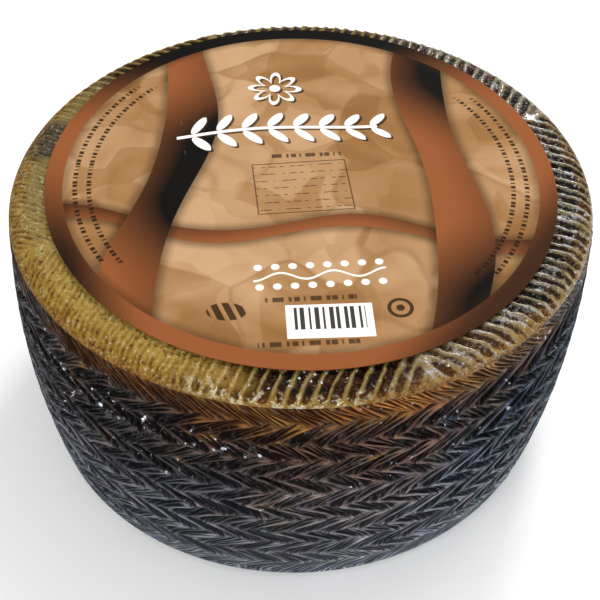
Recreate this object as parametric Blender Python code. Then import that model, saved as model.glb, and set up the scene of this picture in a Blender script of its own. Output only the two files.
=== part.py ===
"""A whole pressed sheep milk cheese with a round paper label on its top.

The wheel is one solid. Its side carries the imprint of a plaited grass band:
rows of slanted, leaf-shaped hollows whose slant changes from row to row. The
rim of its top carries the ribs of the press board, in four quarters. The
label is a thin disc that lies on the flat of the top.

Lengths are in metres, +Z is up, and the wheel rests on z = 0.
"""

import math
import random

import bmesh
import bpy

# The wheel's body
WHEEL_RADIUS = 0.0967  # at the top of the side; the belly swells beyond it
WHEEL_HEIGHT = 0.1034
BELLY_SWELL = 0.0033  # how far the side bulges at half height
BASE_TAPER = 0.0020  # how much smaller in radius the side is at the base
TOP_ROUND = 0.0066  # radius of the upper edge
BASE_ROUND = 0.0067  # radius of the lower edge
OVAL_ALONG = 0.0138  # the wheel is a little oval, as a share of its radius:
OVAL_ASKEW = 0.0126  # one part along X, the other at 45 degrees to it
SIDE_LUMPS = 0.0004  # slow unevenness of the side

# The plaited imprint on the side
PLAIT_TOP = WHEEL_HEIGHT - 0.0042
PLAIT_BASE = 0.0040
ROW_PAIRS = 6  # a pair is one row that falls to the right and one that rises
FALLING_SHARE = 0.45  # the falling row's share of a pair's height
BLADES = 60  # leaf-shaped hollows round each row
BLADE_SLOPE = math.radians(36.0)  # to the horizontal
BLADE_DEPTH = 0.0019
RIDGE_DIP = 0.0003  # how far the ridge between two hollows lies below the seams
SEAM_WAVE = 0.0010  # how far the seam between two rows waves up and down
BLADE_WANDER = 0.16  # sideways unevenness of the hollows, in hollows
LOW_ROWS = 2  # the rows by the base are worn shallower
LOW_ROW_DEPTH = 0.7  # as a share of the full depth

# The ribbed imprint on the rim of the top
RIBS_PER_QUARTER = 35
RIB_AXIS = math.radians(70.0)  # direction of the ribs in the first quarter
RIB_DEPTH = 0.0012
RIB_START = 0.0810  # radius where the grooves begin, under the label
RIB_FULL = 0.0840  # radius where they reach their depth
RIB_EDGE_ANGLE = math.radians(45.0)  # how far they run round the upper edge
RIB_EDGE_DEPTH = 0.6  # as a share of their depth

# The label
LABEL_RADIUS = 0.0854
LABEL_THICKNESS = 0.0004
LABEL_GAP = 0.0003
LABEL_SIDES = 120
LABEL_OFFSET = (-0.0005, 0.0004)  # laid a little off the middle

SEED = 7
QUARTERS = 4
HALF_QUARTER = math.pi / QUARTERS
SIDE_COLUMNS = 2 * BLADES  # one along each hollow and one along each ridge
RIB_COLUMNS = 2 * RIBS_PER_QUARTER * QUARTERS
DEPTH_SPREAD = (0.65, 1.25)  # of single hollows and grooves

RIND_COLOUR = (0.085, 0.055, 0.028, 1.0)
LABEL_COLOUR = (0.47, 0.27, 0.12, 1.0)


def clear_scene():
    """Remove every object that the scene starts with."""
    for thing in list(bpy.data.objects):
        bpy.data.objects.remove(thing, do_unlink=True)


def principled(name, colour, roughness):
    """Return a material with one even finish."""
    material = bpy.data.materials.new(name)
    material.use_nodes = True
    shader = material.node_tree.nodes["Principled BSDF"]
    shader.inputs["Base Color"].default_value = colour
    shader.inputs["Roughness"].default_value = roughness
    shader.inputs["Metallic"].default_value = 0.0
    return material


def slow_waves(rng, cycles, rise):
    """Return waves round the wheel: cycles a turn, cycles up its height, phase."""
    return [(n, rng.uniform(-rise, rise), rng.uniform(0.0, math.tau)) for n in cycles]


def ripple(waves, angle, height):
    """Return the mean of the waves at one place, between -1 and 1."""
    turn = math.tau * height / WHEEL_HEIGHT
    return sum(math.sin(n * angle + up * turn + phase) for n, up, phase in waves) / len(waves)


def oval(angle):
    """Return the wheel's radius at an angle as a share of its mean radius."""
    return 1.0 + OVAL_ALONG * math.cos(2 * angle) + OVAL_ASKEW * math.sin(2 * angle)


def side_radius(height):
    """Return the radius of the bulged side, rounded at both edges."""
    top_centre = WHEEL_HEIGHT - TOP_ROUND
    fall = (top_centre - height) / (top_centre - BASE_ROUND)
    if fall < 0.0:
        return WHEEL_RADIUS - TOP_ROUND + math.sqrt(TOP_ROUND**2 - (height - top_centre) ** 2)
    if fall > 1.0:
        base = WHEEL_RADIUS - BASE_TAPER - BASE_ROUND
        return base + math.sqrt(BASE_ROUND**2 - (BASE_ROUND - height) ** 2)
    return WHEEL_RADIUS + 4.0 * BELLY_SWELL * fall * (1.0 - fall) - BASE_TAPER * fall


def at(radius, angle, height):
    """Return the point of the oval wheel at a radius, an angle and a height."""
    reach = radius * oval(angle)
    return (reach * math.cos(angle), reach * math.sin(angle), height)


def rib_angle(column, radius):
    """Return the angle at which a straight rib crosses a circle of the rim.

    The ribs of a quarter are parallel lines. Those nearest its ends are drawn
    together towards the middle, so that they stay inside their quarter.
    """
    quarter, place = divmod(column, RIB_COLUMNS // QUARTERS)
    side = 2.0 * place / (RIB_COLUMNS // QUARTERS) - 1.0
    widest = WHEEL_RADIUS * math.sin(HALF_QUARTER)
    squeeze = HALF_QUARTER / math.asin(min(widest / radius, 1.0))
    lean = math.asin(side * widest / radius) * (1.0 - (1.0 - squeeze) * abs(side) ** 3)
    return RIB_AXIS + quarter * 2.0 * HALF_QUARTER + lean


def top_rings(rng):
    """Return the rim's rings of points, from the flat middle outwards."""
    depth = [RIB_DEPTH * rng.uniform(*DEPTH_SPREAD) * (column % 2) for column in range(RIB_COLUMNS)]
    centre = WHEEL_RADIUS - TOP_ROUND
    steps = [
        (RIB_START, WHEEL_HEIGHT, 0.0),
        (RIB_FULL, WHEEL_HEIGHT, 1.0),
        (centre, WHEEL_HEIGHT, 1.0),
        (
            centre + TOP_ROUND * math.sin(RIB_EDGE_ANGLE),
            WHEEL_HEIGHT - TOP_ROUND * (1.0 - math.cos(RIB_EDGE_ANGLE)),
            RIB_EDGE_DEPTH,
        ),
    ]
    return [
        [at(radius, rib_angle(c, radius), height - share * depth[c]) for c in range(RIB_COLUMNS)]
        for radius, height, share in steps
    ]


def plait_rows():
    """Return each row of the plait as its upper edge, its height and its slant."""
    pair = (PLAIT_TOP - PLAIT_BASE) / ROW_PAIRS
    rows, upper = [], PLAIT_TOP
    for _ in range(ROW_PAIRS):
        for slant, tall in ((1, pair * FALLING_SHARE), (-1, pair * (1.0 - FALLING_SHARE))):
            rows.append((upper, tall, slant))
            upper -= tall
    return rows


def side_rings(rng):
    """Return the side's rings of points, from the rim down to the last seam.

    A column of points follows one hollow or one ridge, and turns with the
    slant at each seam. The hollows of a row end between those of the next.
    """
    lumps = slow_waves(rng, (3, 5, 8), 1.5)
    wander = slow_waves(rng, (7, 11, 16), 4.0)
    rows = plait_rows()
    start = RIB_AXIS - HALF_QUARTER
    rings, drift = [], 0.0
    for index, (upper, tall, slant) in enumerate(rows):
        travel = slant * tall / math.tan(BLADE_SLOPE) / (math.tau * WHEEL_RADIUS / BLADES)
        worn = LOW_ROW_DEPTH if index >= len(rows) - LOW_ROWS else 1.0
        depth = [BLADE_DEPTH * worn * rng.uniform(*DEPTH_SPREAD) for _ in range(SIDE_COLUMNS)]
        shares = (0.0, 0.5) if slant > 0 else (0.0, 0.3, 0.7)
        for share in shares:
            ring = []
            for column in range(SIDE_COLUMNS):
                hollow = (column + index) % 2 == 1
                wave = (SEAM_WAVE if hollow else -SEAM_WAVE) * (1.0 - 2.0 * share)
                height = upper - share * tall + (wave if index or share else 0.0)
                angle = start + (column / 2.0 + drift + travel * share) * math.tau / BLADES
                angle += BLADE_WANDER * ripple(wander, angle, height) * math.tau / BLADES
                sunk = 0.0
                if share:
                    sunk = depth[column] if hollow else RIDGE_DIP
                swell = SIDE_LUMPS * ripple(lumps, angle, height)
                ring.append(at(side_radius(height) + swell - sunk, angle, height))
            rings.append(ring)
        drift += travel
    columns = [start + (c / 2.0 + drift) * math.tau / BLADES for c in range(SIDE_COLUMNS)]
    return rings, columns


def base_rings(columns):
    """Return the lower edge's rings of points, down to the flat base."""
    rings = []
    for tilt in (math.asin(1.0 - PLAIT_BASE / BASE_ROUND), math.radians(60.0), math.pi / 2):
        radius = WHEEL_RADIUS - BASE_TAPER - BASE_ROUND * (1.0 - math.cos(tilt))
        height = BASE_ROUND * (1.0 - math.sin(tilt))
        rings.append([at(radius, angle, height) for angle in columns])
    return rings


def skin(mesh, upper, lower):
    """Join two rings by four-sided faces, or by triangles if their counts differ."""
    if len(upper) == len(lower):
        for i, vertex in enumerate(lower):
            j = (i + 1) % len(lower)
            mesh.faces.new([vertex, lower[j], upper[j], upper[i]])
        return
    i = j = 0
    while i < len(upper) or j < len(lower):
        high, low = upper[i % len(upper)], lower[j % len(lower)]
        if i < len(upper) and (i + 1) * len(lower) <= (j + 1) * len(upper):
            i += 1
            mesh.faces.new([low, upper[i % len(upper)], high])
        else:
            j += 1
            mesh.faces.new([low, lower[j % len(lower)], high])


def build_wheel():
    """Model the cheese as one closed solid."""
    rng = random.Random(SEED)
    rim = top_rings(rng)
    side, columns = side_rings(rng)
    mesh = bmesh.new()
    rings = [[mesh.verts.new(point) for point in ring] for ring in rim + side + base_rings(columns)]
    for upper, lower in zip(rings, rings[1:]):
        skin(mesh, upper, lower)
    bmesh.ops.triangulate(mesh, faces=mesh.faces[:], quad_method="SHORT_EDGE")
    mesh.faces.new(rings[0])
    mesh.faces.new(list(reversed(rings[-1])))
    bmesh.ops.recalc_face_normals(mesh, faces=mesh.faces[:])
    centre_on_axis(mesh)
    return finish("cheese_wheel", mesh, principled("rind", RIND_COLOUR, 0.42))


def centre_on_axis(mesh):
    """Move the mesh so that its width and its depth are centred on the Z axis."""
    for axis in (0, 1):
        places = [vertex.co[axis] for vertex in mesh.verts]
        shift = (min(places) + max(places)) / 2.0
        for vertex in mesh.verts:
            vertex.co[axis] -= shift


def build_label():
    """Model the label as a thin disc just above the flat of the top."""
    mesh = bmesh.new()
    disc = bmesh.ops.create_circle(mesh, cap_ends=True, segments=LABEL_SIDES, radius=LABEL_RADIUS)
    underside = WHEEL_HEIGHT + LABEL_GAP
    bmesh.ops.translate(mesh, verts=disc["verts"], vec=(*LABEL_OFFSET, underside))
    upper = bmesh.ops.extrude_face_region(mesh, geom=mesh.faces[:])
    lifted = [item for item in upper["geom"] if isinstance(item, bmesh.types.BMVert)]
    bmesh.ops.translate(mesh, verts=lifted, vec=(0.0, 0.0, LABEL_THICKNESS))
    bmesh.ops.recalc_face_normals(mesh, faces=mesh.faces[:])
    return finish("paper_label", mesh, principled("printed_paper", LABEL_COLOUR, 0.55))


def finish(name, mesh, material):
    """Turn a bmesh into a named object with its material and smooth shading."""
    data = bpy.data.meshes.new(name)
    mesh.to_mesh(data)
    mesh.free()
    data.materials.append(material)
    data.shade_smooth()
    data.set_sharp_from_angle(angle=math.radians(50.0))
    thing = bpy.data.objects.new(name, data)
    bpy.context.collection.objects.link(thing)
    return thing


def main():
    """Model the cheese and its label."""
    clear_scene()
    cheese = bpy.data.objects.new("cheese", None)
    bpy.context.collection.objects.link(cheese)
    for piece in (build_wheel(), build_label()):
        piece.parent = cheese
    bpy.context.view_layer.update()


main()
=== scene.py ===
"""Looks of a whole pressed sheep milk cheese with a round paper label on its top.

The wheel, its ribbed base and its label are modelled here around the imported
frame. The wheel's relief is worked out from the same named sizes as its solid:
a plaited grass band pressed into the side, and a ribbed board pressed into
the top and the base. Lengths are in metres, +Z is up and the wheel stands
on z = 0.
"""

from __future__ import annotations

import logging
import math
import random
from dataclasses import dataclass, field
from enum import Enum
from typing import Sequence

import bpy
import numpy as np
from mathutils import Matrix, Vector, noise


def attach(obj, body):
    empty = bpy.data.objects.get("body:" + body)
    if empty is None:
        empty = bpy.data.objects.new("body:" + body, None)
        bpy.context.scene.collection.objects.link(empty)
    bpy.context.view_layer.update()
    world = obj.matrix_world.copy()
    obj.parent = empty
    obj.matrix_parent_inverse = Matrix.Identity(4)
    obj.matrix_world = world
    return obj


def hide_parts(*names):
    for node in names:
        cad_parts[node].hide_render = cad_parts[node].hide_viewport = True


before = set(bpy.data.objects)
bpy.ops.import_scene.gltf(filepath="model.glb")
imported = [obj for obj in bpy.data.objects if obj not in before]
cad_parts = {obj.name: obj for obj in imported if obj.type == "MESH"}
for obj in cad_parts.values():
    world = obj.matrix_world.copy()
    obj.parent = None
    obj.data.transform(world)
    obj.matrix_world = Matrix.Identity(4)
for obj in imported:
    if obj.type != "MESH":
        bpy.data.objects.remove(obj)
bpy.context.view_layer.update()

LOG = logging.getLogger("cheese")
MM = 0.001
QUARTERS = 4
HALF_QUARTER = math.pi / QUARTERS
TINY = 1e-6
AROUND_AXIS = {"center_override": (0.0, 0.0, 0.0)}

Colour = tuple[float, float, float, float]
Number = float | int
Wave = tuple[int, float, float]  # cycles a turn, cycles up the wheel, phase


class Slot(Enum):
    """The material slots."""

    RIND = "rind"
    PAPER = "printed_paper"


class Slant(Enum):
    """Which way the hollows of a plait row lean, seen from outside."""

    FALLING = 1
    RISING = -1


def srgb(red: int, green: int, blue: int) -> Colour:
    """Turn a screen colour into the linear colour that a shader takes.

    Args:
        red: Red from 0 to 255.
        green: Green from 0 to 255.
        blue: Blue from 0 to 255.

    Returns:
        The linear colour with full alpha.
    """
    linear = []
    for value in (red, green, blue):
        share = value / 255.0
        linear.append(share / 12.92 if share <= 0.04045 else ((share + 0.055) / 1.055) ** 2.4)
    return (linear[0], linear[1], linear[2], 1.0)


# --------------------------------------------------------------------- shader maths


class Field:
    """A socket of a material that reads like a number in an expression."""

    def __init__(self, graph: Graph, socket: bpy.types.NodeSocket) -> None:
        """Keep the material's graph and the socket."""
        self.graph = graph
        self.socket = socket

    def math(self, operation: str, *others: Field | Number) -> Field:
        """Add a Math node whose first value is this field.

        Args:
            operation: The Math node's operation.
            *others: Its further values.

        Returns:
            The node's result.
        """
        values = {index: value for index, value in enumerate((self, *others))}
        return self.graph.node("ShaderNodeMath", {"operation": operation}, values)

    def __add__(self, other: Field | Number) -> Field:
        """Return the sum."""
        return self.math("ADD", other)

    __radd__ = __add__

    def __mul__(self, other: Field | Number) -> Field:
        """Return the product."""
        return self.math("MULTIPLY", other)

    __rmul__ = __mul__

    def __sub__(self, other: Field | Number) -> Field:
        """Return the difference."""
        return self.math("SUBTRACT", other)

    def __rsub__(self, other: Number) -> Field:
        """Return a number less this field."""
        return self.graph.node("ShaderNodeMath", {"operation": "SUBTRACT"}, {0: other, 1: self})

    def __truediv__(self, other: Field | Number) -> Field:
        """Return the quotient."""
        return self.math("DIVIDE", other)

    def __pow__(self, other: Number) -> Field:
        """Return the power."""
        return self.math("POWER", other)

    def size(self) -> Field:
        """Return the value without its sign."""
        return self.math("ABSOLUTE")

    def least(self, other: Field | Number) -> Field:
        """Return the smaller of the two."""
        return self.math("MINIMUM", other)

    def most(self, other: Field | Number) -> Field:
        """Return the larger of the two."""
        return self.math("MAXIMUM", other)

    def share(self) -> Field:
        """Return the value held between 0 and 1."""
        return self.most(0.0).least(1.0)

    def cosine(self) -> Field:
        """Return the cosine."""
        return self.math("COSINE")

    def sine(self) -> Field:
        """Return the sine."""
        return self.math("SINE")

    def rise(self, low: Number, high: Number) -> Field:
        """Go smoothly from 0 at low to 1 at high.

        Args:
            low: The value at or below which the result is 0.
            high: The value at or above which it is 1.

        Returns:
            The smooth step.
        """
        values = {"Value": self, "From Min": low, "From Max": high}
        return self.graph.node("ShaderNodeMapRange", {"interpolation_type": "SMOOTHSTEP"}, values)

    def fall(self, low: Number, high: Number) -> Field:
        """Go smoothly from 1 at low to 0 at high."""
        return 1.0 - self.rise(low, high)


def length(x: Field, y: Field) -> Field:
    """Return the length of a flat vector."""
    return (x * x + y * y) ** 0.5


class Graph:
    """The nodes of one material, written as expressions."""

    def __init__(self, name: str) -> None:
        """Start an empty material.

        Args:
            name: The material's name.
        """
        self.material = bpy.data.materials.new(name)
        self.material.use_nodes = True
        self.tree = self.material.node_tree
        self.tree.nodes.clear()

    def node(
        self,
        kind: str,
        settings: dict[str, object] | None = None,
        sockets: dict[str | int, object] | None = None,
        result: str | int = 0,
    ) -> Field:
        """Add a node.

        Args:
            kind: The node's type.
            settings: Its settings, which are set first.
            sockets: The value or the link of each input, by name or number.
            result: The output to return, by name or number.

        Returns:
            The chosen output.
        """
        made = self.tree.nodes.new(kind)
        for name, value in (settings or {}).items():
            setattr(made, name, value)
        for name, value in (sockets or {}).items():
            if isinstance(value, Field):
                self.tree.links.new(value.socket, made.inputs[name])
            else:
                made.inputs[name].default_value = value
        return Field(self, made.outputs[result])

    def mix(self, share: Field | Number, first: object, second: object) -> Field:
        """Mix two colours.

        Args:
            share: How much of the second colour shows.
            first: The first colour, a value or a field.
            second: The second colour.

        Returns:
            The mixed colour.
        """
        return self.node(
            "ShaderNodeMix",
            {"data_type": "RGBA", "clamp_factor": True},
            {0: share, 6: first, 7: second},
            2,
        )

    def tint(self, colour: object, gain: Field | Number) -> Field:
        """Multiply a colour by a number.

        Args:
            colour: The colour, a value or a field.
            gain: The number.

        Returns:
            The lighter or darker colour.
        """
        return self.node(
            "ShaderNodeVectorMath",
            {"operation": "SCALE"},
            {0: colour if isinstance(colour, Field) else colour[:3], "Scale": gain},
        )

    def place(self) -> Field:
        """Return the Object coordinates."""
        return self.node("ShaderNodeTexCoord", result="Object")

    def attribute(self, name: str, vector: bool = False) -> Field:
        """Return an attribute of the mesh.

        Args:
            name: The attribute's name.
            vector: Whether it is a vector.

        Returns:
            Its value.
        """
        result = "Vector" if vector else "Fac"
        return self.node("ShaderNodeAttribute", {"attribute_name": name}, None, result)

    def parts(self, vector: Field) -> tuple[Field, Field, Field]:
        """Split a vector.

        Args:
            vector: The vector.

        Returns:
            Its X, Y and Z.
        """
        first = self.node("ShaderNodeSeparateXYZ", None, {0: vector})
        outputs = first.socket.node.outputs
        return first, Field(self, outputs[1]), Field(self, outputs[2])

    def join(self, x: object, y: object, z: object = 0.0) -> Field:
        """Return the vector of three values."""
        return self.node("ShaderNodeCombineXYZ", None, {0: x, 1: y, 2: z})

    def grain(self, vector: Field, scale: float, detail: float = 3.0, rough: float = 0.55) -> Field:
        """Return soft noise between 0 and 1.

        Args:
            vector: Where it is read.
            scale: Its scale.
            detail: How many finer layers it has.
            rough: How strong they are.

        Returns:
            The noise.
        """
        sockets = {"Vector": vector, "Scale": scale, "Detail": detail, "Roughness": rough}
        return self.node("ShaderNodeTexNoise", {"normalize": True}, sockets)

    def colourful(self, vector: Field, scale: float) -> Field:
        """Return three soft noises as one vector."""
        sockets = {"Vector": vector, "Scale": scale, "Detail": 1.0}
        return self.node("ShaderNodeTexNoise", None, sockets, "Color")

    def hued(self, colour: Field, vector: Field, scale: float, strength: float) -> Field:
        """Vary the parts of a colour by soft noise.

        Args:
            colour: The colour.
            vector: Where the noise is read.
            scale: Its scale.
            strength: How far each part goes up and down in all.

        Returns:
            The varied colour.
        """
        spread = self.node(
            "ShaderNodeVectorMath",
            {"operation": "MULTIPLY_ADD"},
            {0: self.colourful(vector, scale), 1: (strength,) * 3, 2: (1.0 - strength / 2.0,) * 3},
        )
        return self.node("ShaderNodeVectorMath", {"operation": "MULTIPLY"}, {0: colour, 1: spread})

    def swirl(
        self, vector: Field, scale: float, detail: float, distortion: float, kind: str = "FBM"
    ) -> Field:
        """Return noise that is bent by itself, between 0 and 1.

        Args:
            vector: Where it is read.
            scale: Its scale.
            detail: How many finer layers it has.
            distortion: How far it is bent.
            kind: The kind of noise.

        Returns:
            The noise.
        """
        sockets = {"Vector": vector, "Scale": scale, "Detail": detail, "Distortion": distortion}
        return self.node("ShaderNodeTexNoise", {"noise_type": kind, "normalize": True}, sockets)

    def bent(self, vector: Field, scale: float, reach: float) -> Field:
        """Return the vector moved about by soft noise.

        Args:
            vector: The vector.
            scale: The noise's scale.
            reach: How far the noise moves it at the most.

        Returns:
            The moved vector.
        """
        sockets = {0: vector, 1: self.tint(self.colourful(vector, scale), reach)}
        return self.node("ShaderNodeVectorMath", {"operation": "ADD"}, sockets)

    def cells(self, vector: Field, scale: float, feature: str = "F1") -> Field:
        """Return a distance in a pattern of uneven cells.

        Args:
            vector: Where it is read.
            scale: The pattern's scale.
            feature: Which distance.

        Returns:
            The distance.
        """
        sockets = {"Vector": vector, "Scale": scale}
        return self.node("ShaderNodeTexVoronoi", {"feature": feature}, sockets)

    def facets(self, vector: Field, scale: float) -> Field:
        """Return three levels for each of many uneven cells, as one vector."""
        sockets = {"Vector": vector, "Scale": scale, "Smoothness": 0.08}
        return self.node("ShaderNodeTexVoronoi", {"feature": "SMOOTH_F1"}, sockets, "Color")

    def stretched(self, vector: Field, factors: tuple[float, float, float]) -> Field:
        """Return the vector with each part multiplied."""
        return self.node("ShaderNodeVectorMath", {"operation": "MULTIPLY"}, {0: vector, 1: factors})

    def finish(
        self,
        constants: dict[str, object],
        fields: dict[str, Field],
        height: Field | None,
        relief: float,
    ) -> bpy.types.Material:
        """Add the shader, its bump and the output.

        Args:
            constants: Values that are the same all over, by socket.
            fields: What varies, by socket.
            height: The height that the bump reads.
            relief: The bump's depth in metres.

        Returns:
            The finished material.
        """
        sockets: dict[str | int, object] = {**constants, **fields}
        if height is not None:
            bump = {"Height": height, "Distance": relief, "Strength": 1.0}
            sockets["Normal"] = self.node("ShaderNodeBump", None, bump)
        shader = self.node("ShaderNodeBsdfPrincipled", None, sockets)
        surface = self.tree.nodes.new("ShaderNodeOutputMaterial").inputs["Surface"]
        self.tree.links.new(shader.socket, surface)
        return self.material


# ------------------------------------------------------------------- mesh handling


def start_edit(thing: bpy.types.Object) -> None:
    """Open one object alone in edit mode, with nothing of it selected."""
    bpy.ops.object.select_all(action="DESELECT")
    bpy.context.view_layer.objects.active = thing
    thing.select_set(True)
    bpy.ops.object.mode_set(mode="EDIT")
    bpy.ops.mesh.select_all(action="DESELECT")


def end_edit() -> None:
    """Go back to object mode with nothing selected."""
    bpy.ops.object.mode_set(mode="OBJECT")
    bpy.ops.object.select_all(action="DESELECT")


def turned_shell(
    name: str, columns: int, outline: Sequence[tuple[float, float]]
) -> bpy.types.Object:
    """Extrude a ring of edges along an outline, and close both its ends.

    Args:
        name: The object's name.
        columns: How many points each ring has.
        outline: The radius and the height of each ring, from the top inwards
            edge round to the bottom inwards edge.

    Returns:
        The closed shell.
    """
    bpy.ops.object.select_all(action="DESELECT")
    radius, height = outline[0]
    bpy.ops.mesh.primitive_circle_add(
        vertices=columns, radius=radius, fill_type="NGON", location=(0.0, 0.0, height)
    )
    shell = bpy.context.object
    shell.name = shell.data.name = name
    bpy.ops.object.transform_apply(location=True, rotation=True, scale=True)
    bpy.ops.object.mode_set(mode="EDIT")
    bpy.ops.mesh.select_all(action="SELECT")
    bpy.ops.mesh.delete(type="ONLY_FACE")
    bpy.ops.mesh.select_all(action="SELECT")
    for new_radius, new_height in outline[1:]:
        bpy.ops.mesh.extrude_region_move(
            TRANSFORM_OT_translate={"value": (0.0, 0.0, new_height - height)}
        )
        share = new_radius / radius
        bpy.ops.transform.resize(value=(share, share, 1.0), **AROUND_AXIS)
        radius, height = new_radius, new_height
    bpy.ops.mesh.select_all(action="DESELECT")
    bpy.ops.mesh.select_non_manifold(extend=False)
    bpy.ops.mesh.fill_holes(sides=0)
    bpy.ops.mesh.select_all(action="SELECT")
    bpy.ops.mesh.normals_make_consistent(inside=False)
    end_edit()
    return shell


def points_of(thing: bpy.types.Object) -> np.ndarray:
    """Return the places of an object's points, one row each."""
    places = np.empty(len(thing.data.vertices) * 3, dtype=np.float64)
    thing.data.vertices.foreach_get("co", places)
    return places.reshape(-1, 3)


def move_points(thing: bpy.types.Object, places: np.ndarray) -> None:
    """Put an object's points at new places."""
    thing.data.vertices.foreach_set("co", places.astype(np.float32).ravel())
    thing.data.update()


def keep_number(thing: bpy.types.Object, name: str, values: np.ndarray) -> None:
    """Store a number at each point, for the material to read."""
    layer = thing.data.attributes.new(name, "FLOAT", "POINT")
    layer.data.foreach_set("value", values.astype(np.float32))


def keep_vector(thing: bpy.types.Object, name: str, values: np.ndarray) -> None:
    """Store a vector at each point, for the material to read."""
    layer = thing.data.attributes.new(name, "FLOAT_VECTOR", "POINT")
    layer.data.foreach_set("vector", values.astype(np.float32).ravel())


def soft_noise(places: np.ndarray, scale: float, octaves: int = 3) -> np.ndarray:
    """Return smooth noise between about -1 and 1 at each place.

    Args:
        places: The places, one row each.
        scale: How many features fit in a metre.
        octaves: How many finer layers it has.

    Returns:
        The noise at each place.
    """
    return np.array(
        [noise.fractal(Vector(place), 1.0, 2.0, octaves) for place in places * scale]
    )


def ramp(values: np.ndarray, low: float, width: float) -> np.ndarray:
    """Go straight from 0 at low to 1 at low and the width together.

    Args:
        values: The values.
        low: Where the ramp starts.
        width: How wide it is.

    Returns:
        The ramp at each value, which stays 0 before it and 1 after it.
    """
    return np.clip((values - low) / width, 0.0, 1.0)


def polar(places: np.ndarray) -> tuple[np.ndarray, np.ndarray]:
    """Return the radius and the angle of each place about the axis."""
    return np.hypot(places[:, 0], places[:, 1]), np.arctan2(places[:, 1], places[:, 0])


def hand_over(
    thing: bpy.types.Object, slot: Slot, material: bpy.types.Material, *nodes: str
) -> None:
    """Dress a finished piece and tie it to the frame.

    Args:
        thing: The piece.
        slot: Not used.
        material: Its material.
        *nodes: The CAD nodes that it stands for.
    """
    thing.data.materials.clear()
    thing.data.materials.append(material)
    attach(thing, "root")
    if nodes:
        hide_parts(*nodes)
    LOG.info("%s: %d faces", thing.name, len(thing.data.polygons))


# ----------------------------------------------------------------- the wheel's form


@dataclass(frozen=True)
class PlaitRow:
    """One row of the plait.

    Attributes:
        upper: Height of its upper seam.
        tall: Its height.
        travel: How far they run round the wheel, in hollows.
        drift: How far the rows above have run.
        depths: Depth of each column of hollows and ridges.
    """

    upper: float
    tall: float
    travel: float
    drift: float
    depths: np.ndarray


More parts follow.
